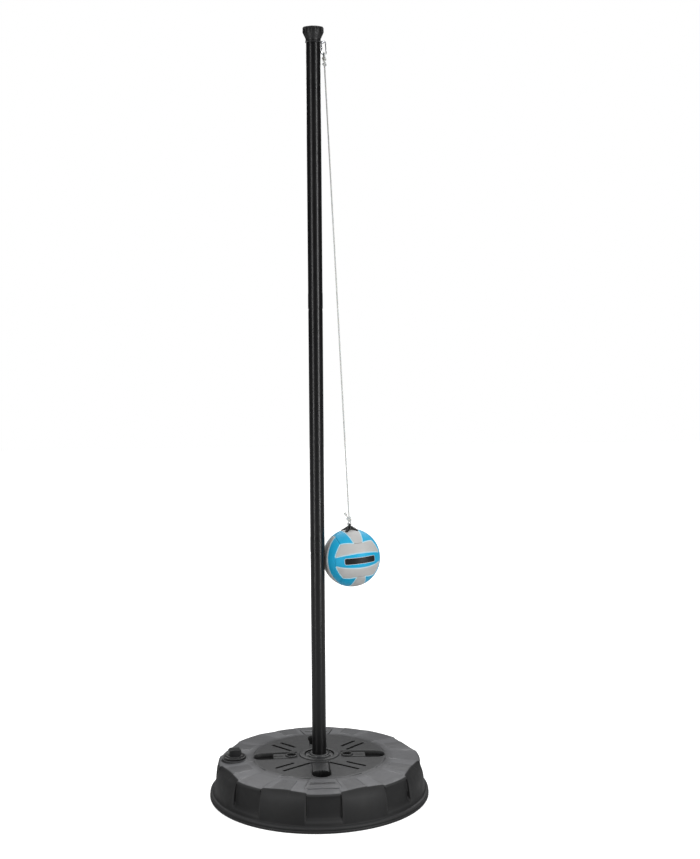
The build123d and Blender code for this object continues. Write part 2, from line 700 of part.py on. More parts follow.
def panel(face, along, across, low, high):
    """One of three strips of a cube face blown up onto the sphere: the strip
    runs the full way in `along`, and from `low` to `high` in `across`."""
    with BuildPart() as strip:
        with Locations(ball_centre):
            Sphere(ball_r, rotation=pole_aside)
            Sphere(ball_r - panel_t, rotation=pole_aside, mode=Mode.SUBTRACT)
        cuts = [
            (face * 1.0 - along, 1), (face * 1.0 + along, 1),
            (across - face * low, 1), (face * high - across, 1),
        ]
        for normal, _ in cuts:
            n = normal.normalized()
            split(bisect_by=Plane(origin=ball_centre + n * seam, z_dir=tuple(n)), keep=Keep.TOP)
    return strip.part


def face_strips(face, along, across):
    return [
        panel(face, along, across, -1.0, -t15),
        panel(face, along, across, -t15, t15),
        panel(face, along, across, t15, 1.0),
    ]


strips = {}
for name, face, along, across in (
    ("front", front_v, side_v, up_v), ("back", front_v * -1, side_v, up_v),
    ("top", up_v, front_v, side_v), ("bottom", up_v * -1, front_v, side_v),
    ("left", side_v, up_v, front_v), ("right", side_v * -1, up_v, front_v),
):
    strips[name] = face_strips(face, along, across)

grey_list = [strips["front"][0], strips["front"][2], strips["back"][0], strips["back"][2],
             strips["top"][1], strips["bottom"][1], strips["left"][1], strips["right"][1]]
blue_list = [strips["front"][1], strips["back"][1]]
for name in ("top", "bottom", "left", "right"):
    blue_list += [strips[name][0], strips[name][2]]

with BuildPart() as blue_panels:
    add(blue_list)
blue_panels.part.label = "blue_panels"
export_step(blue_panels.part, "parts/blue_panels.step")

valve_plane = Plane(origin=ball_centre, x_dir=tuple(front_v), z_dir=tuple(up_v * -1))
with BuildPart() as grey_panels:
    add(grey_list)
    with BuildSketch(valve_plane.offset(80)):
        Circle(3.2)
    extrude(amount=20, mode=Mode.SUBTRACT)
grey_panels.part.label = "grey_panels"
export_step(grey_panels.part, "parts/grey_panels.step")

# wound carcass under the panels, and the bladder inside it
lining_r = ball_r - panel_t - 0.1
with BuildPart() as ball_lining:
    with Locations(ball_centre):
        Sphere(lining_r, rotation=pole_aside)
        Sphere(lining_r - 1.0, rotation=pole_aside, mode=Mode.SUBTRACT)
    with BuildSketch(valve_plane.offset(80)):
        Circle(3.2)
    extrude(amount=20, mode=Mode.SUBTRACT)
ball_lining.part.label = "ball_lining"
export_step(ball_lining.part, "parts/ball_lining.step")

bladder_r = lining_r - 1.1
with BuildPart() as bladder:
    with Locations(ball_centre):
        Sphere(bladder_r, rotation=pole_aside)
        Sphere(bladder_r - 0.9, rotation=pole_aside, mode=Mode.SUBTRACT)
    with BuildSketch(valve_plane.offset(80)):
        Circle(3.2)
    extrude(amount=20, mode=Mode.SUBTRACT)
bladder.part.label = "bladder"
export_step(bladder.part, "parts/bladder.step")

with BuildPart() as valve:
    with BuildSketch(Plane(origin=ball_centre, x_dir=tuple(front_v), z_dir=tuple((up_v * -1).cross(front_v)))):
        with BuildLine():
            closed([
                (0, -(bladder_r - 12)), (3.8, -(bladder_r - 12)), (3.8, -(bladder_r - 4.5)), (8.5, -(bladder_r - 2.9)),
                (8.5, -(bladder_r - 1.6)), (3.0, -(bladder_r - 1.0)), (3.0, -(ball_r - 0.6)), (0.6, -(ball_r - 0.6)),
                (0, -(ball_r - 2.2)),
            ])
        make_face()
    revolve(axis=Axis(ball_centre, up_v))
valve.part.label = "valve"
export_step(valve.part, "parts/valve.step")

# moulded bridge on top of the ball: four legs, and a tab with the rope's eyelet
with BuildPart() as ball_strap:
    for a in (45, 135):
        leg = Plane(
            origin=ball_centre,
            x_dir=tuple(tilt_out * math.cos(math.radians(a)) + side * math.sin(math.radians(a))),
            z_dir=tuple(tilt_out * math.sin(math.radians(a)) - side * math.cos(math.radians(a))),
        )
        with BuildSketch(leg):
            with BuildLine():
                closed([
                    (-27.5, 86.0), (-27.5, 89.6), (-18.0, 94.6), (-9.0, 100.4), (-4.5, 103.0), (4.5, 103.0),
                    (9.0, 100.4), (18.0, 94.6), (27.5, 89.6), (27.5, 86.0),
                ])
            make_face()
        extrude(amount=4.4, both=True)
    with BuildSketch(Plane(origin=ball_centre, x_dir=tuple(side), z_dir=tuple(side.cross(line)))):
        with BuildLine():
            closed([(-9.5, 90.0), (-6.6, 104.0), (-5.4, 108.25), (5.4, 108.25), (6.6, 104.0), (9.5, 90.0)])
        make_face()
    extrude(amount=2.0, both=True)
    # round top edge, on the axis that the rope's loop swings about
    with BuildSketch(Plane(origin=ball_pivot, x_dir=tuple(line), z_dir=tuple(side))):
        Circle(2.0)
    extrude(amount=5.4, both=True)
    with BuildSketch(Plane(origin=ball_centre, x_dir=tuple(side), z_dir=tuple(side.cross(line)))):
        with Locations((0, 103.2)):
            SlotOverall(7.4, 6.2, rotation=90)
    extrude(amount=12, both=True, mode=Mode.SUBTRACT)
    with Locations(ball_centre):
        Sphere(ball_r + 0.1, mode=Mode.SUBTRACT)
ball_strap.part.label = "ball_strap"
export_step(ball_strap.part, "parts/ball_strap.step")
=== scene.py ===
import bpy, bmesh, math
import numpy as np
from mathutils import Vector, Matrix


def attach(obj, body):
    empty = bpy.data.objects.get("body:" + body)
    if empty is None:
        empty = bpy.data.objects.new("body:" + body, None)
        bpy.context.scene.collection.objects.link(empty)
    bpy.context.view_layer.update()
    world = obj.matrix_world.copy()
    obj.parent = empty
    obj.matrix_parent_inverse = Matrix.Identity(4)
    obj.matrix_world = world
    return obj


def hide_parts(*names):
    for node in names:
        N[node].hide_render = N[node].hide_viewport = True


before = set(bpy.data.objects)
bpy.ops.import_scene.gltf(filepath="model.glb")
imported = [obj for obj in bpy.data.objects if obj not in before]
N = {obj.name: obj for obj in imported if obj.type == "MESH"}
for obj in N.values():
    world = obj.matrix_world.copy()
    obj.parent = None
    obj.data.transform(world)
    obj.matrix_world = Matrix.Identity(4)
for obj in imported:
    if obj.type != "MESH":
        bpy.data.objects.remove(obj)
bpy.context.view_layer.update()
rng = np.random.default_rng(7)

# ------------------------------------------------------------------ camera
A = math.radians(-2.3)                     # the base's pattern is turned in the view
Rz = Matrix.Rotation(A, 3, "Z")
yaw, pitch, roll = 0.0235742142, 0.109955743, -0.00599569789
D, H, F_PX = 4.40867895, 1.64896892, 1430.16381
fwd = Vector((math.sin(yaw) * math.cos(pitch), math.cos(yaw) * math.cos(pitch), -math.sin(pitch)))
right = Vector((math.cos(yaw), -math.sin(yaw), 0))
up = right.cross(fwd)
r2 = right * math.cos(roll) + up * math.sin(roll)
u2 = -right * math.sin(roll) + up * math.cos(roll)
fwd, r2, u2 = Rz @ fwd, Rz @ r2, Rz @ u2
cam_pos = Rz @ Vector((0, -D, H))
cam_data = bpy.data.cameras.new("camera")
cam = bpy.data.objects.new("camera", cam_data)
bpy.context.scene.collection.objects.link(cam)
cam.matrix_world = Matrix((
    (r2.x, u2.x, -fwd.x, cam_pos.x), (r2.y, u2.y, -fwd.y, cam_pos.y),
    (r2.z, u2.z, -fwd.z, cam_pos.z), (0, 0, 0, 1)))
cam_data.sensor_width = 36.0
cam_data.lens = F_PX * 36.0 / 859.0
cam_data.clip_end = 60
bpy.context.scene.camera = cam


# --------------------------------------------------------------- materials
def nodes_of(name):
    m = bpy.data.materials.new(name)
    m.use_nodes = True
    nt = m.node_tree
    b = nt.nodes["Principled BSDF"]
    return m, nt, b


def add(nt, kind, **inputs):
    n = nt.nodes.new(kind)
    for k, v in inputs.items():
        n.inputs[k.replace("_", " ")].default_value = v
    return n


def ramp(nt, fac, stops):
    r = nt.nodes.new("ShaderNodeValToRGB")
    els = r.color_ramp.elements
    while len(els) < len(stops):
        els.new(0.5)
    for e, (p, c) in zip(els, stops):
        e.position = p
        e.color = (*c, 1.0) if len(c) == 3 else c
    nt.links.new(fac, r.inputs["Fac"])
    return r


def grey(v):
    return (v, v, v)


def coords(nt):
    return nt.nodes.new("ShaderNodeTexCoord").outputs["Object"]


def noise(nt, scale, detail=4.0, rough=0.55):
    n = add(nt, "ShaderNodeTexNoise", Scale=scale, Detail=detail, Roughness=rough)
    nt.links.new(coords(nt), n.inputs["Vector"])
    return n.outputs["Fac"]


def bump(nt, height, strength, distance, normal=None):
    b = add(nt, "ShaderNodeBump", Strength=strength, Distance=distance)
    nt.links.new(height, b.inputs["Height"])
    if normal is not None:
        nt.links.new(normal, b.inputs["Normal"])
    return b.outputs["Normal"]


def plastic(name, dark, light, rough_lo, rough_hi, grain_scale, grain, spec=0.5, scratch=0.0):
    m, nt, b = nodes_of(name)
    big = noise(nt, 9.0, 5.0)
    c = ramp(nt, big, [(0.3, dark), (0.7, light)])
    nt.links.new(c.outputs["Color"], b.inputs["Base Color"])
    fine = noise(nt, grain_scale, 2.0, 0.5)
    mid = noise(nt, grain_scale * 0.12, 4.0)
    rr = ramp(nt, mid, [(0.3, grey(rough_lo)), (0.7, grey(rough_hi))])
    nt.links.new(rr.outputs["Color"], b.inputs["Roughness"])
    n1 = bump(nt, fine, grain, 0.0004)
    n2 = bump(nt, noise(nt, 26.0, 3.0), 0.12, 0.0012, n1)
    if scratch:
        v = add(nt, "ShaderNodeTexVoronoi", Scale=70.0)
        nt.links.new(coords(nt), v.inputs["Vector"])
        s = ramp(nt, v.outputs["Distance"], [(0.0, grey(1.0)), (0.02, grey(0.0))])
        n2 = bump(nt, s.outputs["Color"], scratch, 0.0003, n2)
    nt.links.new(n2, b.inputs["Normal"])
    b.inputs["Specular IOR Level"].default_value = spec
    return m


def base_material():
    """Blow-moulded polyethylene: fine pebble, upward faces smoother than the walls and painted paler than them as
    painted light, a painted highlight on convex edges, a darker plate in the middle and near-black painted shade in the
    hollows.
    """
    m, nt, b = nodes_of("moulded_polyethylene")
    geo = nt.nodes.new("ShaderNodeNewGeometry")
    sep = nt.nodes.new("ShaderNodeSeparateXYZ")
    nt.links.new(geo.outputs["Normal"], sep.inputs[0])
    upness = ramp(nt, sep.outputs["Z"], [(0.80, grey(0.0)), (0.95, grey(1.0))])
    at = nt.nodes.new("ShaderNodeAttribute")
    at.attribute_name = "zone"
    big = noise(nt, 7.0, 6.0)
    # painted light: the upward faces (outer, plate) get a much paler colour than the walls (side), chosen by which way
    # a face points
    side = ramp(nt, big, [(0.3, (0.0070, 0.0071, 0.0074)), (0.7, (0.0105, 0.0107, 0.0110))])
    outer = ramp(nt, big, [(0.3, (0.092, 0.093, 0.098)), (0.7, (0.116, 0.117, 0.123))])
    plate = ramp(nt, big, [(0.3, (0.0180, 0.0183, 0.0190)), (0.7, (0.0250, 0.0254, 0.0265))])
    # painted shade: zones up to 0.42 get a near-black colour and a high roughness
    deep = ramp(nt, at.outputs["Fac"], [(0.42, grey(1.0)), (0.48, grey(0.0))])
    isout = ramp(nt, at.outputs["Fac"], [(0.50, grey(0.0)), (0.86, grey(1.0))])

    def mixed(fac, a, bcol):
        mx = nt.nodes.new("ShaderNodeMix")
        mx.data_type = "RGBA"
        nt.links.new(fac, mx.inputs["Factor"])
        nt.links.new(a, mx.inputs["A"])
        if isinstance(bcol, tuple):
            mx.inputs["B"].default_value = (*bcol, 1)
        else:
            nt.links.new(bcol, mx.inputs["B"])
        return mx.outputs["Result"]

    top_c = mixed(isout.outputs["Color"], plate.outputs["Color"], outer.outputs["Color"])
    col = mixed(upness.outputs["Color"], side.outputs["Color"], top_c)
    # painted highlight: convex edges, found by pointiness, are lightened
    edge_highlight = ramp(nt, geo.outputs["Pointiness"], [(0.50, grey(0.0)), (0.57, grey(0.28))])
    col = mixed(edge_highlight.outputs["Color"], col, (0.10, 0.10, 0.102))
    col = mixed(deep.outputs["Color"], col, (0.0015, 0.0015, 0.0016))
    nt.links.new(col, b.inputs["Base Color"])
    rr0 = ramp(nt, noise(nt, 40.0, 4.0), [(0.3, grey(0.38)), (0.7, grey(0.47))])
    rr1 = ramp(nt, noise(nt, 40.0, 4.0), [(0.3, grey(0.52)), (0.7, grey(0.60))])
    rough = mixed(upness.outputs["Color"], rr1.outputs["Color"], rr0.outputs["Color"])
    rough = mixed(deep.outputs["Color"], rough, (0.9, 0.9, 0.9))
    nt.links.new(rough, b.inputs["Roughness"])
    vor = add(nt, "ShaderNodeTexVoronoi", Scale=620.0)
    nt.links.new(coords(nt), vor.inputs["Vector"])
    n1 = bump(nt, vor.outputs["Distance"], 0.16, 0.0005)
    n2 = bump(nt, noise(nt, 14.0, 3.0), 0.15, 0.003, n1)
    nt.links.new(n2, b.inputs["Normal"])
    b.inputs["Specular IOR Level"].default_value = 0.28
    return m


def powder_coat():
    """Satin black powder coat: very fine orange peel, slightly uneven gloss along the tube."""
    m, nt, b = nodes_of("powder_coat")
    c = ramp(nt, noise(nt, 5.0, 6.0), [(0.3, (0.0034, 0.0034, 0.0037)), (0.7, (0.0050, 0.0050, 0.0054))])
    nt.links.new(c.outputs["Color"], b.inputs["Base Color"])
    rr = ramp(nt, noise(nt, 14.0, 5.0), [(0.35, grey(0.27)), (0.7, grey(0.33))])
    nt.links.new(rr.outputs["Color"], b.inputs["Roughness"])
    nt.links.new(bump(nt, noise(nt, 1500.0, 2.0), 0.10, 0.0001), b.inputs["Normal"])
    b.inputs["Specular IOR Level"].default_value = 0.36
    return m


def metal(name, color, lo, hi, scale=240.0, brushed=False):
    m, nt, b = nodes_of(name)
    b.inputs["Metallic"].default_value = 1.0
    c = ramp(nt, noise(nt, 45.0, 5.0), [(0.3, tuple(v * 0.86 for v in color)), (0.75, color)])
    nt.links.new(c.outputs["Color"], b.inputs["Base Color"])
    if brushed:
        mp = nt.nodes.new("ShaderNodeMapping")
        mp.inputs["Scale"].default_value = (1, 1, 14)
        nt.links.new(coords(nt), mp.inputs["Vector"])
        n = add(nt, "ShaderNodeTexNoise", Scale=scale, Detail=3.0)
        nt.links.new(mp.outputs[0], n.inputs["Vector"])
        f = n.outputs["Fac"]
    else:
        f = noise(nt, scale, 3.0)
    rr = ramp(nt, f, [(0.3, grey(lo)), (0.7, grey(hi))])
    nt.links.new(rr.outputs["Color"], b.inputs["Roughness"])
    nt.links.new(bump(nt, f, 0.08, 0.0002), b.inputs["Normal"])
    return m


def cover(name, color, line_color, label=False):
    """Soft-touch ball cover: fine pebble, pale printed line along seams between two colours."""
    m, nt, b = nodes_of(name)
    at = nt.nodes.new("ShaderNodeAttribute")
    at.attribute_name = "border"
    big = noise(nt, 20.0, 4.0)
    c = ramp(nt, big, [(0.3, tuple(v * 0.94 for v in color)), (0.7, tuple(min(1, v * 1.05) for v in color))])
    e = ramp(nt, at.outputs["Fac"], [(0.0, grey(1.0)), (0.42, grey(1.0)), (0.58, grey(0.0))])
    sm = nt.nodes.new("ShaderNodeAttribute")
    sm.attribute_name = "seam"
    e2 = ramp(nt, sm.outputs["Fac"], [(0.0, grey(0.30)), (0.055, grey(0.55)), (0.12, grey(0.0))])
    mix2 = nt.nodes.new("ShaderNodeMix")
    mix2.data_type = "RGBA"
    nt.links.new(e2.outputs["Color"], mix2.inputs["Factor"])
    nt.links.new(c.outputs["Color"], mix2.inputs["A"])
    mix2.inputs["B"].default_value = tuple(v * 0.45 for v in color) + (1,)
    mix = nt.nodes.new("ShaderNodeMix")
    mix.data_type = "RGBA"
    nt.links.new(e.outputs["Color"], mix.inputs["Factor"])
    nt.links.new(mix2.outputs["Result"], mix.inputs["A"])
    mix.inputs["B"].default_value = (*line_color, 1)
    col = mix.outputs["Result"]
    if label:
        la = nt.nodes.new("ShaderNodeAttribute")
        la.attribute_name = "badge"
        e3 = ramp(nt, la.outputs["Fac"], [(0.0, grey(0.0)), (0.472, grey(0.0)), (0.478, grey(1.0))])
        e4 = ramp(nt, la.outputs["Fac"], [(0.0, grey(0.0)), (0.512, grey(0.0)), (0.518, grey(1.0))])
        for fac, shade in ((e3, (0.66, 0.70, 0.71)), (e4, (0.0035, 0.0035, 0.0040))):
            mx = nt.nodes.new("ShaderNodeMix")
            mx.data_type = "RGBA"
            nt.links.new(fac.outputs["Color"], mx.inputs["Factor"])
            nt.links.new(col, mx.inputs["A"])
            mx.inputs["B"].default_value = (*shade, 1)
            col = mx.outputs["Result"]
    nt.links.new(col, b.inputs["Base Color"])
    rr = ramp(nt, noise(nt, 150.0, 4.0), [(0.3, grey(0.44)), (0.7, grey(0.56))])
    nt.links.new(rr.outputs["Color"], b.inputs["Roughness"])
    vor = add(nt, "ShaderNodeTexVoronoi", Scale=700.0)
    nt.links.new(coords(nt), vor.inputs["Vector"])
    nt.links.new(bump(nt, vor.outputs["Distance"], 0.22, 0.0005), b.inputs["Normal"])
    b.inputs["Specular IOR Level"].default_value = 0.35
    b.inputs["Sheen Weight"].default_value = 0.04
    b.inputs["Sheen Roughness"].default_value = 0.5
    return m


def ring_material():
    """Plated wire; the part that runs round the pole's neck, within about 26 mm of the pole's axis, is coloured
    near-black and not metallic.
    """
    m, nt, b = nodes_of("ring_wire")
    sep = nt.nodes.new("ShaderNodeSeparateXYZ")
    nt.links.new(coords(nt), sep.inputs[0])
    cmb = nt.nodes.new("ShaderNodeCombineXYZ")
    nt.links.new(sep.outputs["X"], cmb.inputs["X"])
    nt.links.new(sep.outputs["Y"], cmb.inputs["Y"])
    ln = nt.nodes.new("ShaderNodeVectorMath")
    ln.operation = "LENGTH"
    nt.links.new(cmb.outputs[0], ln.inputs[0])
    sc = add(nt, "ShaderNodeMath")
    sc.operation = "MULTIPLY"
    nt.links.new(ln.outputs["Value"], sc.inputs[0])
    sc.inputs[1].default_value = 10.0
    c = ramp(nt, sc.outputs[0], [(0.255, (0.006, 0.006, 0.007)), (0.262, (0.40, 0.41, 0.43))])
    mt = ramp(nt, sc.outputs[0], [(0.255, grey(0.0)), (0.262, grey(1.0))])
    nt.links.new(c.outputs["Color"], b.inputs["Base Color"])
    nt.links.new(mt.outputs["Color"], b.inputs["Metallic"])
    rr = ramp(nt, noise(nt, 300.0, 3.0), [(0.3, grey(0.24)), (0.7, grey(0.36))])
    nt.links.new(rr.outputs["Color"], b.inputs["Roughness"])
    nt.links.new(bump(nt, noise(nt, 900.0, 2.0), 0.08, 0.0002), b.inputs["Normal"])
    return m


def rope_mat():
    m, nt, b = nodes_of("braided_polypropylene")
    c = ramp(nt, noise(nt, 160.0, 5.0), [(0.3, (0.50, 0.50, 0.48)), (0.7, (0.68, 0.68, 0.655))])
    nt.links.new(c.outputs["Color"], b.inputs["Base Color"])
    rr = ramp(nt, noise(nt, 400.0, 3.0), [(0.3, grey(0.55)), (0.7, grey(0.75))])
    nt.links.new(rr.outputs["Color"], b.inputs["Roughness"])
    w = add(nt, "ShaderNodeTexNoise", Scale=2600.0, Detail=2.0)
    nt.links.new(coords(nt), w.inputs["Vector"])
    nt.links.new(bump(nt, w.outputs["Fac"], 0.5, 0.0004), b.inputs["Normal"])
    b.inputs["Subsurface Weight"].default_value = 0.08
    b.inputs["Sheen Weight"].default_value = 0.2
    return m


M_base = base_material()
M_coat = powder_coat()
M_cap = plastic("cap_plastic", (0.0055, 0.0055, 0.0060), (0.0090, 0.0090, 0.0096), 0.34, 0.44, 700.0, 0.15, 0.4)
M_fill = plastic("fill_cap_plastic", (0.0045, 0.0045, 0.0050), (0.0080, 0.0080, 0.0086), 0.27, 0.36, 500.0, 0.12, 0.42)
M_collar = plastic("collar_plastic", (0.022, 0.0225, 0.024), (0.034, 0.0345, 0.036), 0.30, 0.40, 450.0, 0.04, 0.45)
M_rubber = plastic("seal_rubber", (0.012, 0.012, 0.012), (0.02, 0.02, 0.02), 0.6, 0.75, 900.0, 0.3, 0.3)
M_bridge = plastic("bridge_rubber", (0.0030, 0.0030, 0.0034), (0.0055, 0.0055, 0.0060), 0.34, 0.46, 800.0, 0.15, 0.3)
M_zinc = metal("zinc_plate", (0.72, 0.73, 0.75), 0.22, 0.36)
M_wire = metal("plated_wire", (0.40, 0.41, 0.43), 0.20, 0.32, 300.0)
M_blue = cover("cover_blue", (0.001, 0.350, 0.600), (0.50, 0.74, 0.82), True)
M_grey = cover("cover_grey", (0.445, 0.445, 0.438), (0.50, 0.60, 0.63))
M_ring = ring_material()
M_rope = rope_mat()
M_thread = plastic("wound_thread", (0.55, 0.52, 0.45), (0.66, 0.63, 0.56), 0.6, 0.8, 600.0, 0.5, 0.3)


def dress(node, mat, bevel=None, smooth=True):
    o = N[node]
    o.data.materials.clear()
    o.data.materials.append(mat)
    if smooth:
        o.data.shade_smooth()
        o.data.set_sharp_from_angle(angle=math.radians(28))
    if bevel:
        w = o.modifiers.new("weld", "WELD")
        w.merge_threshold = 0.00002
        bv = o.modifiers.new("soft_edges", "BEVEL")
        bv.width = bevel
        bv.segments = 2
        bv.limit_method = "ANGLE"
        bv.angle_limit = math.radians(34)
        bv.harden_normals = True


for n_ in ("lower_tube", "middle_tube", "upper_tube"):
    dress(n_, M_coat)
dress("foot_strap", M_coat, 0.0004)
for n_ in ("anchor_bolts", "anchor_washers", "anchor_nuts"):
    dress(n_, M_zinc, 0.0003)
dress("pole_cap", M_cap, 0.0006)
dress("pole_foot", M_cap)
dress("pole_collar", M_collar, 0.0006)
dress("fill_cap", M_fill, 0.0008)
dress("fill_cap_gasket", M_rubber, 0.0003)
dress("swivel_ring", M_ring)
for n_ in ("hook_body", "gate_pin", "hook_gate", "gate_spring"):
    dress(n_, M_wire)
dress("ball_strap", M_bridge, 0.0005)
dress("ball_lining", M_thread)
dress("bladder", M_rubber)
dress("valve", M_rubber)


# -------------------------------------------------------------- small tools
def mesh_object(name, verts, faces, mat, body):
    me = bpy.data.meshes.new(name)
    me.from_pydata([tuple(map(float, v)) for v in verts], [], [tuple(map(int, f)) for f in faces])
    me.update()
    o = bpy.data.objects.new(name, me)
    bpy.context.scene.collection.objects.link(o)
    me.materials.append(mat)
    me.shade_smooth()
    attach(o, body)
    return o


def tube(points, radius, seg=10, closed=False):
    """Vertices and faces of a round tube along points, with a turning-free frame."""
    P = np.asarray(points, float)
    n = len(P)
    if closed:
        T = np.roll(P, -1, 0) - np.roll(P, 1, 0)
    else:
        T = np.gradient(P, axis=0)
    T /= np.linalg.norm(T, axis=1)[:, None]
    ref = np.array([0.0, 0.0, 1.0]) if abs(T[0][2]) < 0.9 else np.array([1.0, 0.0, 0.0])
    U = np.zeros_like(P)
    u = ref - T[0] * ref.dot(T[0]); u /= np.linalg.norm(u)
    for i in range(n):
        u = u - T[i] * u.dot(T[i]); u /= np.linalg.norm(u)
        U[i] = u
    V = np.cross(T, U)
    rad = np.full(n, radius) if np.isscalar(radius) else np.asarray(radius)
    a = np.linspace(0, 2 * np.pi, seg, endpoint=False)
    verts = (P[:, None, :] + rad[:, None, None] * (np.cos(a)[None, :, None] * U[:, None, :] + np.sin(a)[None, :, None] * V[:, None, :])).reshape(-1, 3)
    faces = []
    rows = n if closed else n - 1
    shift = 0
    if closed:
        # match the last ring to the first
        d = np.linalg.norm(verts[(n - 1) * seg:(n) * seg][0] - verts[:seg], axis=1)
        shift = int(d.argmin())
    for i in range(rows):
        j = (i + 1) % n
        s = shift if (closed and i == n - 1) else 0
        for k in range(seg):
            k2 = (k + 1) % seg
            faces.append((i * seg + k, i * seg + k2, j * seg + (k2 + s) % seg, j * seg + (k + s) % seg))
    if not closed:
        faces.append(tuple(range(seg))[::-1])
        faces.append(tuple((n - 1) * seg + k for k in range(seg)))
    return verts, faces


def joined(parts):
    vs, fs, off = [], [], 0
    for v, f in parts:
        vs.append(np.asarray(v)); fs += [tuple(i + off for i in q) for q in f]; off += len(v)
    return np.vstack(vs), fs


# --------------------------------------------------------------------- rope
mm = 0.001
rope_top = Vector((34.59, 11.91, 2266.29)) * mm
rope_end = Vector((101.50, 34.95, 882.58)) * mm
eye = Vector((31.2021, 10.7437, 2336.4)) * mm
hook_low = Vector((32.87, 11.32, 2301.95)) * mm
ball_c = Vector((107.91, 37.16, 750.0)) * mm
pivot = Vector((102.68, 35.36, 858.11)) * mm
line = (eye - ball_c).normalized()
out = Vector((math.cos(math.radians(19)), math.sin(math.radians(19)), 0))
side = Vector((-out.y, out.x, 0))
tilt = (out - line * out.dot(line)).normalized()

route = [rope_top, rope_top - line * 0.029, rope_end + line * 0.029, rope_end]
curve = bpy.data.curves.new("rope_route", "CURVE")
curve.dimensions = "3D"
sp = curve.splines.new("NURBS")
sp.points.add(len(route) - 1)
for p, q in zip(sp.points, route):
    p.co = (*q, 1.0)
sp.order_u = 3
sp.use_endpoint_u = True
sp.resolution_u = 60
tmp = bpy.data.objects.new("rope_route_tmp", curve)
bpy.context.scene.collection.objects.link(tmp)
bpy.context.view_layer.update()
me_ = bpy.data.meshes.new_from_object(tmp.evaluated_get(bpy.context.evaluated_depsgraph_get()))
path = np.array([v.co[:] for v in me_.vertices])
bpy.data.objects.remove(tmp)
bpy.data.meshes.remove(me_)


def resample(P, step):
    d = np.r_[0, np.cumsum(np.linalg.norm(np.diff(P, axis=0), axis=1))]
    n = max(8, int(round(d[-1] / step)))
    t = np.linspace(0, d[-1], n + 1)
    return np.c_[[np.interp(t, d, P[:, k]) for k in range(3)]].T, t


def strands(P, step, rope_r, strand_r, count, pitch, seg=7):
    """Laid strands that wind round the path P."""
    Q, t = resample(P, step)
    T = np.gradient(Q, axis=0); T /= np.linalg.norm(T, axis=1)[:, None]
    u = np.array([1.0, 0.0, 0.0]) if abs(T[0][0]) < 0.8 else np.array([0.0, 1.0, 0.0])
    U = []
    for i in range(len(Q)):
        u = u - T[i] * u.dot(T[i]); u = u / np.linalg.norm(u); U.append(u)
    U = np.array(U); V = np.cross(T, U)
    parts = []
    for s in range(count):
        a = 2 * np.pi * (t / pitch + s / count)
        S = Q + (rope_r - strand_r) * (np.cos(a)[:, None] * U + np.sin(a)[:, None] * V)
        parts.append(tube(S, strand_r, seg))
    return joined(parts)


ROPE_R = 0.0024
v, f = strands(path, 0.0014, ROPE_R, 0.00148, 3, 0.0165, 8)
rope = mesh_object("tether_rope_strands", v, f, M_rope, "tether")
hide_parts("tether_rope")


def knot_curve(centre, axis, across, size, height, turns=3, n=150, lift=1.0):
    """A compact overhand-style knot: a trefoil path pressed along the rope."""
    w = axis.cross(across)
    P = []
    for i in range(n):
        t = 2 * math.pi * i / n
        x = (math.sin(t) + 2 * math.sin(2 * t)) / 3 * size
        y = (math.cos(t) - 2 * math.cos(2 * t)) / 3 * size
        z = -math.sin(3 * t) * height
        # the knot's long way lies along the rope
        q = centre + axis * (x * lift) + across * y + w * z
        P.append(q[:])
    return np.array(P)


# loop round the hook's bottom wire: two legs that come together in the knot
def eye_loop(centre, plane_x, axis, r, leg, n=60):
    P = []
    for i in range(n + 1):
        a = math.radians(-52 + 284 * i / n)
        P.append((centre + plane_x * (r * math.cos(a)) + axis * (r * math.sin(a)))[:])
    P = np.array(P)
    a0 = P[0]; a1 = P[-1]
    down = np.array((centre - axis * leg)[:])
    legA = np.array([a0 + (down - a0) * k for k in np.linspace(1, 0.08, 10)])
    legB = np.array([a1 + (down - a1) * k for k in np.linspace(0.08, 1, 10)])
    legA += np.array(plane_x[:]) * 0.0009
    legB -= np.array(plane_x[:]) * 0.0009
    return np.vstack([legA, P, legB])


up_parts = []
LOOP_UP = 0.0047
lp = eye_loop(hook_low, side, line, LOOP_UP, 0.0125)
up_parts.append(strands(lp, 0.0008, 0.0021, 0.00116, 3, 0.012, 7))
k1 = knot_curve(hook_low - line * 0.0138, line, side, 0.0066, 0.0031)
k1 = np.vstack([k1, k1[:1]])
up_parts.append(strands(k1, 0.0007, 0.0023, 0.00128, 3, 0.012, 7))
mid_run = np.array([(hook_low - line * z)[:] for z in np.linspace(0.012, 0.0362, 20)])
up_parts.append(strands(mid_run, 0.001, 0.0022, 0.00118, 3, 0.0165, 7))
k2 = knot_curve(hook_low - line * 0.0292, line, tilt, 0.0054, 0.0028)
k2 = np.vstack([k2, k2[:1]])
up_parts.append(strands(k2, 0.0007, 0.0020, 0.0011, 3, 0.012, 7))
v, f = joined(up_parts)
knot_up = mesh_object("upper_knot_rope", v, f, M_rope, "tether")
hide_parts("upper_knot")

low_parts = []
lp = eye_loop(pivot, tilt, -line, 0.0054, 0.0125)
low_parts.append(strands(lp, 0.0008, 0.0021, 0.00116, 3, 0.012, 7))
v, f = joined(low_parts)
loop_low = mesh_object("lower_loop_rope", v, f, M_rope, "tether")
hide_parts("lower_loop")

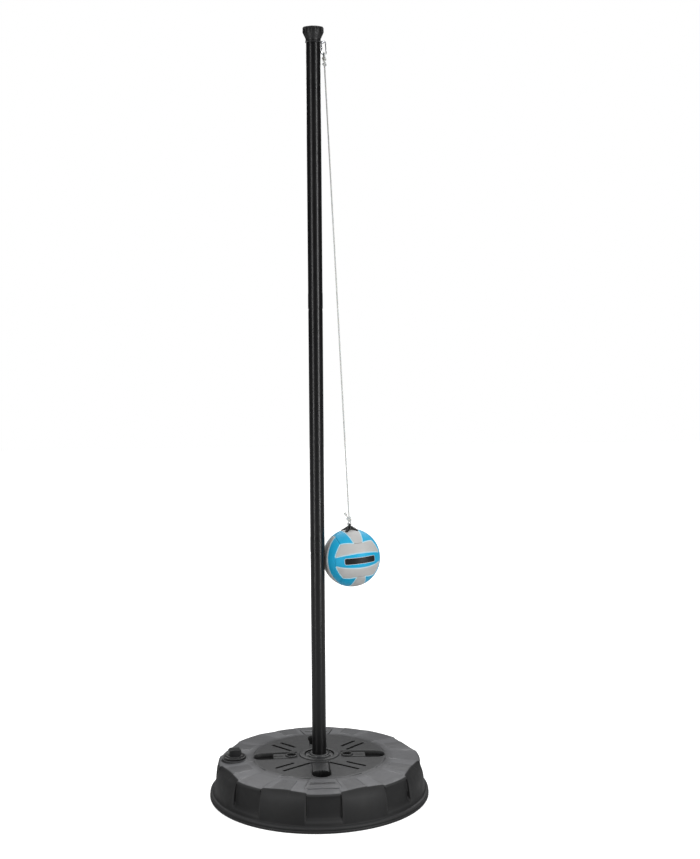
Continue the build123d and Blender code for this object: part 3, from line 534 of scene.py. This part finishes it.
kn = []
k1 = knot_curve(pivot + line * 0.0158, line, tilt, 0.0070, 0.0032)
k1 = np.vstack([k1, k1[:1]])
kn.append(strands(k1, 0.0007, 0.0024, 0.00132, 3, 0.012, 7))
run = np.array([(pivot + line * z)[:] for z in np.linspace(0.0125, 0.0250, 12)])
kn.append(strands(run, 0.001, 0.0022, 0.00118, 3, 0.0165, 7))
tail_dir = (line * 0.86 - tilt * 0.50).normalized()
t0 = pivot + line * 0.0160
tail = [(t0 + tail_dir * s + tilt * (-0.0014 * math.sin(s / 0.019 * math.pi)))[:] for s in np.linspace(0, 0.0245, 22)]
kn.append(strands(np.array(tail), 0.0008, 0.0019, 0.00105, 3, 0.012, 7))
k3 = knot_curve(pivot + line * 0.0135 + tail_dir * 0.0225, tail_dir, side, 0.0040, 0.0022)
k3 = np.vstack([k3, k3[:1]])
kn.append(strands(k3, 0.0006, 0.0018, 0.0010, 3, 0.010, 7))
v, f = joined(kn)
knot_low = mesh_object("lower_knot_rope", v, f, M_rope, "tether")
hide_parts("lower_knot")

P_, _t = resample(path, 0.02)

# --------------------------------------------------------------- the base
def smooth(e0, e1, x):
    t = np.clip((x - e0) / (e1 - e0), 0, 1)
    return t * t * (3 - 2 * t)


def box_mask(dx, dy, hx, hy, soft):
    """1 inside a rectangle of half sizes hx, hy, falling to 0 over soft outside it."""
    return (1 - smooth(0, soft, np.abs(dx) - hx)) * (1 - smooth(0, soft, np.abs(dy) - hy))


def disc_mask(dx, dy, r, soft):
    return 1 - smooth(0, soft, np.hypot(dx, dy) - r)


def capsule_mask(x, y, x0, y0, x1, y1, r, soft):
    ax, ay = x1 - x0, y1 - y0
    t = np.clip(((x - x0) * ax + (y - y0) * ay) / (ax * ax + ay * ay), 0, 1)
    return 1 - smooth(0, soft, np.hypot(x - x0 - t * ax, y - y0 - t * ay) - r)


def mixm(z, target, m):
    return z * (1 - m) + target * m


def top_height(x, y):
    """Height of the base's top in mm at x, y in mm."""
    r = np.hypot(x, y)
    z = np.interp(r, [0, 64, 140, 200, 209, 212, 280, 300], [124.0, 124.0, 122.6, 121.0, 120.6, 119.8, 115.3, 113.2])
    th = np.degrees(np.arctan2(y, x))
    # flat facets round the outer ring, in line with the windows and the panels
    d8 = (th + 22.5) % 45 - 22.5                      # angle from the nearest window's middle
    p8 = th % 45 - 22.5                               # angle from the nearest panel's middle
    zw_ = 120.4 - 0.072 * (r * np.cos(np.radians(d8)) - 206)
    zp_ = 120.4 - 0.044 * (r * np.cos(np.radians(p8)) - 206) - 0.11 * np.abs(p8 + 2.6)
    wf = 1 - smooth(9.0, 9.9, np.abs(d8))
    ring = smooth(207, 213, r)
    zf = zp_ * (1 - wf) + zw_ * wf - 0.8
    z = z * (1 - ring) + zf * ring
    # a second, slightly tilted facet near each panel's middle
    pm = (1 - smooth(5.6, 6.4, np.abs(p8 + 2.6))) * smooth(232, 236, r)
    z = z + pm * (0.15 * (p8 + 2.6) + 0.6)
    # plain trapezoid plaques, front and back
    ay = np.abs(y)
    half = 39 + (ay - 214) * 18 / 69
    inside = smooth(213, 215.5, ay) * (1 - smooth(281.5, 283, ay)) * (1 - smooth(0, 2.5, np.abs(x) - half))
    z = mixm(z, np.interp(ay, [214, 262, 264, 283], [120.9, 118.6, 117.9, 116.2]), inside)
    bar = box_mask(x, ay - 246, 37, 6.5, 1.2)
    z = z - 1.2 * bar * inside
    # side channels, tongues, pockets
    ax_ = np.abs(x)
    ch = np.maximum(box_mask(ax_ - 124, y, 54, 29.5, 1.6), disc_mask(ax_ - 178, y, 29.5, 1.6))
    z = mixm(z, np.interp(ax_, [70, 150, 210], [119.5, 114.0, 112.5]), ch * smooth(66, 78, ax_))
    pk = np.maximum(box_mask(ax_ - 163, y, 14.5, 27.5, 1.6), disc_mask(ax_ - 178, y, 27.5, 1.6)) * smooth(146, 148, ax_)
    z = mixm(z, 107.5 + 0.9 * np.sin(y / 5.0) * np.cos(ax_ / 7.0), pk)
    tg = box_mask(ax_ - 108, y - 1.0, 38.5, 20, 1.6) * (1 - smooth(145.5, 147.2, ax_))
    z = mixm(z, np.interp(ax_, [70, 147], [122.0, 121.0]), tg)
    z = z - 4.5 * capsule_mask(ax_, y, 117, 0, 145, 0, 1.8, 1.4)
    # anchor bosses and their holes
    z = mixm(z, np.full_like(z, 126.0), disc_mask(ax_ - 88, y, 18.6, 1.3))
    z = mixm(z, np.full_like(z, 112.5), disc_mask(ax_ - 88, y, 12.9, 1.2))
    # front and back ramps and deep pockets
    rp = box_mask(x, ay - 108, 25.6, 40, 2.4) * smooth(66, 72, ay)
    z = mixm(z, np.interp(ay, [68, 150], [120.5, 111.5]), rp)
    st = capsule_mask(x, ay, 0, 150.0, 0, 171.5, 28.0, 1.8)
    z = mixm(z, 42.0 + 2.2 * np.sin(x / 4.2) * np.sin(ay / 4.8), st)
    # pairs of thin grooves
    for x0, y0, x1, y1, s in ((77, 79, 118, 126, 1), (92, 45, 146, 107, 1), (86, 74, 136, 108, -1), (31, 77, 113, 134, -1)):
        g = capsule_mask(ax_, y * s, x0, y0, x1, y1, 3.6, 1.6)
        z = z - 6.5 * g
    # fill seat
    st = disc_mask(x + 268, y, 39.0, 1.5)
    z = mixm(z, np.full_like(z, 119.45), st)
    # fill neck, a well that the cap's plug stands in
    z = mixm(z, np.full_like(z, 92.0), disc_mask(x + 268, y, 25.2, 0.8))
    return z


NT = 1080
th = np.linspace(0, 2 * np.pi, NT, endpoint=False)
thd = np.degrees(th)
step = 1.3
r_feat = np.r_[np.arange(66.5, 212, step), np.arange(212, 300.1, 1.6)]
d8 = np.abs((thd + 22.5) % 45 - 22.5)
w = 1 - smooth(9.1, 9.75, d8)                        # 1 in a window
p8 = thd % 45 - 22.5
bow = np.clip(1 - (p8 / 13.0) ** 2, 0, None)
rows = []


def row(r, z):
    r = np.broadcast_to(r, th.shape); z = np.broadcast_to(z, th.shape)
    rows.append(np.c_[r * np.cos(th), r * np.sin(th), z])


# inside the socket, the recess and the hub ring
row(22.75, 20.0); row(22.75, 70.0); row(22.75, 118.0); row(23.4, 119.0); row(34.0, 119.0); row(44.6, 119.0)
row(45.8, 119.4); row(46.1, 120.5); row(46.2, 126.0); row(46.7, 127.4); row(48.0, 128.0); row(52.0, 128.1)
row(60.5, 127.8); row(62.4, 127.2); row(63.3, 126.0); row(63.7, 124.8); row(64.6, 124.1)
ct, snn = np.cos(th), np.sin(th)
R_end = (1 - w) * (311.0 - 10.0 * bow) + w * 313.5
for r in r_feat:
    k = np.clip((r - 250) / 50.0, 0, 1) ** 2
    rr = r + k * (R_end - 4.0 - 300.0)
    z = top_height(rr * ct, rr * snn)
    row(rr, z)
z_end = rows[-1][:, 2]
r_last = np.hypot(rows[-1][:, 0], rows[-1][:, 1])


def lerp(a, b, t):
    return a * (1 - t) + b * t


# shoulder and wall: proud profile and window profile, blended at the window's sides
prof_p = [(R_end, z_end - 0.9), (R_end + 2.2, z_end - 2.4), (R_end + 4.5, z_end - 5.0), (319.6, 101.5), (324.0, 94.6), (328.0, 84.0),
          (330.6, 74.0), (332.6, 60.0), (334.0, 47.0), (334.9, 38.0), (335.5, 30.0), (336.0, 24.0)]
prof_w = [(R_end, z_end - 0.7), (R_end + 3.2, z_end - 1.6), (318.6, 109.6), (320.0, 107.2), (320.2, 104.5), (318.8, 101.5),
          (319.6, 94.0), (321.4, 74.0), (323.0, 56.0), (324.2, 43.0), (326.0, 39.4), (335.2, 31.0)]
fillw = 1 - smooth(9.1, 9.75, d8)
for (rp_, zp_), (rw_, zw_) in zip(prof_p, prof_w):
    row(lerp(np.broadcast_to(rp_, th.shape), np.broadcast_to(rw_, th.shape), fillw),
        lerp(np.broadcast_to(zp_, th.shape), np.broadcast_to(zw_, th.shape), fillw))
for r, z in ((336.2, 22.0), (337.2, 20.0), (339.6, 18.9), (342.6, 18.3), (344.6, 17.4), (346.0, 15.9), (346.5, 14.0), (346.5, 11.6),
             (346.0, 10.2), (345.2, 9.3), (345.4, 8.6), (346.6, 7.9), (347.3, 6.6), (347.5, 4.5), (347.4, 2.0), (346.6, 0.5), (345.2, 0.0),
             (300.0, 0.0), (200.0, 0.0), (120.0, 0.0), (118.2, 0.3), (118.0, 2.0), (118.0, 15.0), (117.0, 16.0), (80.0, 16.0), (48.0, 16.0),
             (47.0, 15.0), (47.0, 10.0), (46.0, 9.0), (20.0, 9.0)):
    row(r, z)
V = np.array(rows) * mm
nr = len(V)
idx = np.arange(nr * NT).reshape(nr, NT)
a_, b_ = idx[:-1], idx[1:]
quads = np.stack([a_, b_, np.roll(b_, -1, 1), np.roll(a_, -1, 1)], -1).reshape(-1, 4)
verts = V.reshape(-1, 3)
faces = quads.tolist()
c0 = len(verts)
verts = np.vstack([verts, [[0, 0, 0.020]], [[0, 0, 0.009]]])
first, last = idx[0], idx[-1]
faces += [(int(first[k]), int(first[(k + 1) % NT]), c0) for k in range(NT)]
faces += [(int(last[(k + 1) % NT]), int(last[k]), c0 + 1) for k in range(NT)]
me = bpy.data.meshes.new("base_tank")
me.vertices.add(len(verts)); me.vertices.foreach_set("co", verts.astype(np.float32).ravel())
tot = np.array([len(q) for q in faces], np.int32)
flat = np.fromiter((i for q in faces for i in q), np.int32)
me.loops.add(len(flat)); me.loops.foreach_set("vertex_index", flat)
me.polygons.add(len(tot)); me.polygons.foreach_set("loop_start", np.r_[0, np.cumsum(tot)[:-1]].astype(np.int32))
me.update(calc_edges=True); me.validate()
bm = bmesh.new(); bm.from_mesh(me); bmesh.ops.recalc_face_normals(bm, faces=bm.faces[:]); bm.to_mesh(me); bm.free()
base = bpy.data.objects.new("base_tank", me)
bpy.context.scene.collection.objects.link(base)
me.materials.append(M_base)
me.shade_smooth()
# which part of the base a point is on: deep pockets 0 (painted near-black shade), middle plate 0.5, outer ring and the
# rest 0.8
co = np.empty(len(me.vertices) * 3, np.float32)
me.vertices.foreach_get("co", co)
co = co.reshape(-1, 3) * 1000.0
rr_ = np.hypot(co[:, 0], co[:, 1])
zone = 0.5 + 0.3 * np.clip((rr_ - 203.0) / 34.0, 0.0, 1.0) ** 0.8
# painted shade: the inside of the deep front and back pockets is set to 0
inside_st = (np.abs(co[:, 0]) < 31) & (np.abs(np.abs(co[:, 1]) - 160.5) < 42.0) & (co[:, 2] > 20)
edge_z = np.interp(np.abs(co[:, 1]), [128, 150, 200], [112.0, 115.5, 118.0])
zone = np.where(inside_st & (co[:, 2] < edge_z), 0.0, zone)
# the facets get painted light and shade as if tilted, the grooves, side pockets and boss holes get near-black painted
# shade, and the plaque's bar and the foot flange are darker
xx, yy, zz = co[:, 0], co[:, 1], co[:, 2]
axx = np.abs(xx)
p8v = np.degrees(np.arctan2(yy, xx)) % 45 - 22.5
d8v = np.abs((np.degrees(np.arctan2(yy, xx)) + 22.5) % 45 - 22.5)
# painted light and shade: sub-facets are made darker or lighter to look tilted to the light
up_zone = (zz > 96) & (rr_ > 226)
zone = np.where(up_zone & (np.abs(p8v + 2.6) < 6.0) & (rr_ > 234), zone - 0.11, zone)
zone = np.where(up_zone & (d8v < 9.4), zone - 0.055, zone)
zone = np.where(up_zone & (p8v > 3.4) & (d8v > 9.4), zone + 0.045, zone)
ay_ = np.abs(yy)
plaque = (zz > 110) & (ay_ > 215) & (ay_ < 282) & (axx < 39 + (ay_ - 214) * 18 / 69)
zone = np.where(plaque, 0.74, zone)
zone = np.where(plaque & (np.abs(ay_ - 246) < 6.8) & (axx < 37.2), 0.50, zone)
# painted shade: the side pockets, the boss holes and the grooves get low zones, which the material paints near-black
zone = np.where((np.maximum(box_mask(axx - 163, yy, 14.5, 27.5, 1.6), disc_mask(axx - 178, yy, 27.5, 1.6)) > 0.5)
                & (axx > 146.5) & (zz > 100), 0.16, zone)
zone = np.where((disc_mask(axx - 88, yy, 12.9, 1.2) > 0.5) & (zz > 105), 0.10, zone)
for x0, y0, x1, y1, sg in ((77, 79, 118, 126, 1), (92, 45, 146, 107, 1), (86, 74, 136, 108, -1), (31, 77, 113, 134, -1)):
    zone = np.where((capsule_mask(axx, yy * sg, x0, y0, x1, y1, 4.0, 1.6) > 0.4) & (zz > 100), 0.04, zone)
# painted shade in the fill neck's well
zone = np.where((np.hypot(xx + 268, yy) < 25.6) & (zz > 80) & (zz < 118), 0.0, zone)
zone = np.where((zz < 40) & (rr_ > 300), 0.50, zone)
# painted shade along the corner lines where the windows meet the proud panels
zone = np.where((np.abs(d8v - 9.30) < 0.30) & (zz > 42) & (zz < 108) & (rr_ > 300), 0.10, zone)
att = me.attributes.new("zone", "FLOAT", "POINT")
att.data.foreach_set("value", zone.astype(np.float32))
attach(base, "base")
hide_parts("base_shell")

# ------------------------------------------------------------------- ball
fa, fe = math.radians(-72.55), math.radians(4.9)
front = Vector((math.cos(fa) * math.cos(fe), math.sin(fa) * math.cos(fe), math.sin(fe)))
top = (line - front * line.dot(front)).normalized()
side_b = top.cross(front)                  # towards the ball's left-hand face
R_BALL = 91.5
BULGE = 10.0                               # the seams bow out by this much between the corners
SPLIT = 15.0                               # half the middle strip's angle


def unit(a):
    return a / np.linalg.norm(a, axis=-1, keepdims=True)


def tand(a):
    return np.tan(np.radians(a))


def end_seam(n, a, c, v):
    """Direction on the seam at the strips' ends, at angle v degrees across the face."""
    v = np.asarray(v, float)[..., None]
    u = 45.0 + BULGE * (1 - (v / 45.0) ** 2)
    return unit(n + tand(u) * a + tand(v) * c)


def strip(face, along, across, which):
    """Grid over one strip (which = -1, 0 or 1) of a face, with the distances to its four seams."""
    n, a, c = (np.array(q[:]) for q in (face, along, across))
    nu, nv = ((96, 36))
    s_ = np.linspace(0, 1, nu)
    s_ = s_ + 0.35 * np.sin(4 * np.pi * s_) / (4 * np.pi) * -1     # crowd the cells near the ends
    t_ = np.linspace(0, 1, nv)
    p = 2 * s_ - 1

    def inner(v):
        u_end = 45.0 + BULGE * (1 - (v / 45.0) ** 2)
        return unit(n + tand(p * u_end)[:, None] * a + tand(v) * c)

    def outer(sg):
        return end_seam(sg * c, n, a, p * 45.0)

    if which == 0:
        lo, hi, v0, v1 = inner(-SPLIT), inner(SPLIT), -SPLIT, SPLIT
    elif which == 1:
        lo, hi, v0, v1 = inner(SPLIT), outer(1), SPLIT, 45.0
    else:
        lo, hi, v0, v1 = outer(-1), inner(-SPLIT), -45.0, -SPLIT
    vv = v0 + (v1 - v0) * t_
    el, er = end_seam(n, -a, c, vv), end_seam(n, a, c, vv)
    S, T = s_[:, None, None], t_[None, :, None]
    F = (1 - T) * lo[:, None] + T * hi[:, None] + (1 - S) * el[None] + S * er[None] - (
        (1 - S) * (1 - T) * lo[0] + S * (1 - T) * lo[-1] + (1 - S) * T * hi[0] + S * T * hi[-1])
    F = unit(F)
    du = np.linalg.norm(np.diff(F, axis=0), axis=-1) * R_BALL
    dv = np.linalg.norm(np.diff(F, axis=1), axis=-1) * R_BALL
    cu = np.concatenate([np.zeros((1, nv)), np.cumsum(du, 0)], 0)
    cv = np.concatenate([np.zeros((nu, 1)), np.cumsum(dv, 1)], 1)
    return F, cu, cu[-1:] - cu, cv, cv[:, -1:] - cv, p


def build_cover(name, specs, mat, nodes, own, badge=False):
    vs, fs, bd, se, lb, off = [], [], [], [], [], 0
    for face, along, across, which, mid_c, outer_c, end_c, top_mid, top_out in specs:
        F, d0, d1, d2, d3, p = strip(face, along, across, which)
        seam = np.minimum.reduce([d0, d1, d2, d3])
        far = np.full_like(d0, 9.0)
        border = far.copy()
        if end_c != own:
            border = np.minimum(border, np.minimum(d0, d1))
        half = tand(SPLIT) / tand(45.0 + 0.0)
        inner_p = np.abs(p) * 45.0 < SPLIT
        # the neighbour across an outer long side changes colour along it
        neigh = np.where(inner_p, top_mid == own, top_out == own)
        for k, dd in ((-1, d2), (1, d3)):
            if which == 0 or k != which:
                other = mid_c if which != 0 else outer_c
                if other != own:
                    border = np.minimum(border, dd)
            else:
                border = np.minimum(border, np.where(neigh[:, None], 9.0, dd))
        roll_ = np.clip(1 - seam / 2.6, 0, 1)
        rad = R_BALL - 1.25 * roll_ ** 2.0 - 0.1
        C0 = np.array(ball_c[:]) * 1000
        P = C0 + F * rad[..., None]
        P2 = C0 + F * (R_BALL - 2.5)
        nu, nv = P.shape[:2]
        g = np.arange(nu * nv).reshape(nu, nv)
        q = np.stack([g[:-1, :-1], g[1:, :-1], g[1:, 1:], g[:-1, 1:]], -1).reshape(-1, 4)
        n0 = nu * nv
        q2 = q[:, ::-1] + n0
        rim = list(g[:, 0]) + list(g[-1, 1:]) + list(g[-2::-1, -1]) + list(g[0, -2:0:-1])
        sidef = [(rim[i], rim[(i + 1) % len(rim)], rim[(i + 1) % len(rim)] + n0, rim[i] + n0) for i in range(len(rim))]
        fs += [tuple(int(i) + off for i in ff) for ff in q.tolist() + q2.tolist() + sidef]
        vs += [P.reshape(-1, 3), P2.reshape(-1, 3)]
        if badge and which == 0 and face == front:
            nn, aa, cc = (np.array(z_[:]) for z_ in (face, along, across))
            gu = np.degrees(np.arctan2(F @ aa, F @ nn)) * math.radians(1) * R_BALL
            gv = np.degrees(np.arcsin(F @ cc)) * math.radians(1) * R_BALL
            qx, qy = np.abs(gu + 1.0) - (53.5 - 5.5), np.abs(gv) - (10.4 - 5.5)
            sd = np.hypot(np.maximum(qx, 0), np.maximum(qy, 0)) + np.minimum(np.maximum(qx, qy), 0) - 5.5
            badge_v = np.clip(0.5 - (sd + 0.6) / 24.0, 0, 1)
        else:
            badge_v = np.zeros((nu, nv))
        bd += [border.reshape(-1), np.full(n0, 9.0)]
        se += [seam.reshape(-1), np.full(n0, 9.0)]
        lb += [badge_v.reshape(-1), np.zeros(n0)]
        off += 2 * n0
    V_ = np.vstack(vs) * mm
    o = mesh_object(name, V_, fs, mat, "ball")
    bm = bmesh.new(); bm.from_mesh(o.data); bmesh.ops.recalc_face_normals(bm, faces=bm.faces[:]); bm.to_mesh(o.data); bm.free()
    for nm_, arr, sc in (("border", bd, 4.0), ("seam", se, 9.0), ("badge", lb, 1.0)):
        at = o.data.attributes.new(nm_, "FLOAT", "POINT")
        at.data.foreach_set("value", (np.concatenate(arr) / sc).astype(np.float32))
    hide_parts(*nodes)
    return o


B_, G_ = "blue", "grey"
blue_s, grey_s = [], []
# face, strips along, strips across, middle colour, outer colour, colour at the ends, and beyond the outer sides: middle, outer
for face, along, across, mid_c, out_c, end_c, tm, to in (
        (front, side_b, top, B_, G_, B_, G_, B_), (-front, side_b, top, B_, G_, B_, G_, B_),
        (side_b, top, front, G_, B_, B_, B_, G_), (-side_b, top, front, G_, B_, B_, B_, G_),
        (top, front, side_b, G_, B_, G_, G_, B_), (-top, front, side_b, G_, B_, G_, G_, B_)):
    for which in (-1, 0, 1):
        own = mid_c if which == 0 else out_c
        (blue_s if own == B_ else grey_s).append((face, along, across, which, mid_c, out_c, end_c, tm, to))
blue_cover = build_cover("ball_cover_blue", blue_s, M_blue, ["blue_panels"], B_, True)
grey_cover = build_cover("ball_cover_grey", grey_s, M_grey, ["grey_panels"], G_)

# ------------------------------------------------------------------- stage
me = bpy.data.meshes.new("floor")
g = 9.0
me.from_pydata([(-g, -g, 0), (g, -g, 0), (g, g, 0), (-g, g, 0)], [], [(0, 1, 2, 3)])
floor = bpy.data.objects.new("floor", me)
bpy.context.scene.collection.objects.link(floor)
m, nt, b = nodes_of("studio_floor")
b.inputs["Base Color"].default_value = (0.80, 0.80, 0.80, 1)
b.inputs["Roughness"].default_value = 0.95
b.inputs["Specular IOR Level"].default_value = 0.0
b.inputs["Emission Color"].default_value = (1, 1, 1, 1)
b.inputs["Emission Strength"].default_value = 0.55
lpn = nt.nodes.new("ShaderNodeLightPath")
dimm = nt.nodes.new("ShaderNodeBsdfDiffuse")
dimm.inputs["Color"].default_value = (0.50, 0.50, 0.50, 1)
ms = nt.nodes.new("ShaderNodeMixShader")
nt.links.new(lpn.outputs["Is Camera Ray"], ms.inputs[0])
nt.links.new(dimm.outputs[0], ms.inputs[1])
nt.links.new(b.outputs[0], ms.inputs[2])
nt.links.new(ms.outputs[0], nt.nodes["Material Output"].inputs["Surface"])
me.materials.append(m)

bpy.context.scene.view_settings.view_transform = "Standard"
world = bpy.data.worlds.new("studio")
bpy.context.scene.world = world
world.use_nodes = True
wt = world.node_tree
bg = wt.nodes["Background"]
tc = wt.nodes.new("ShaderNodeTexCoord")
sep = wt.nodes.new("ShaderNodeSeparateXYZ")
wt.links.new(tc.outputs["Generated"], sep.inputs[0])
dome = ramp(wt, sep.outputs["Z"], [(0.0, grey(0.03)), (0.24, grey(0.07)), (0.50, grey(0.42)), (0.75, grey(1.15)), (1.0, grey(1.15))])
lp_ = wt.nodes.new("ShaderNodeLightPath")
mixw = wt.nodes.new("ShaderNodeMix")
mixw.data_type = "RGBA"
wt.links.new(lp_.outputs["Is Camera Ray"], mixw.inputs["Factor"])
wt.links.new(dome.outputs["Color"], mixw.inputs["A"])
mixw.inputs["B"].default_value = (1, 1, 1, 1)
wt.links.new(mixw.outputs["Result"], bg.inputs[0])
bg.inputs[1].default_value = 1.0


def area(name, loc, target, sx, sy, power):
    l = bpy.data.lights.new(name, "AREA")
    l.shape = "RECTANGLE"
    l.size, l.size_y, l.energy = sx, sy, power
    o = bpy.data.objects.new(name, l)
    bpy.context.scene.collection.objects.link(o)
    o.location = loc
    d = (Vector(target) - Vector(loc)).normalized()
    o.rotation_euler = d.to_track_quat("-Z", "Y").to_euler()
    return o


# tall soft boxes either side of the camera, and one overhead behind the object
area("left_box", (-2.3, -2.1, 1.35), (0, 0, 1.35), 0.30, 3.2, 40)
area("right_box", (2.15, -2.25, 1.35), (0, 0, 1.35), 0.34, 3.2, 66)
area("back_box", (0.3, 3.0, 2.9), (0, 0, 0.2), 3.4, 1.2, 52)
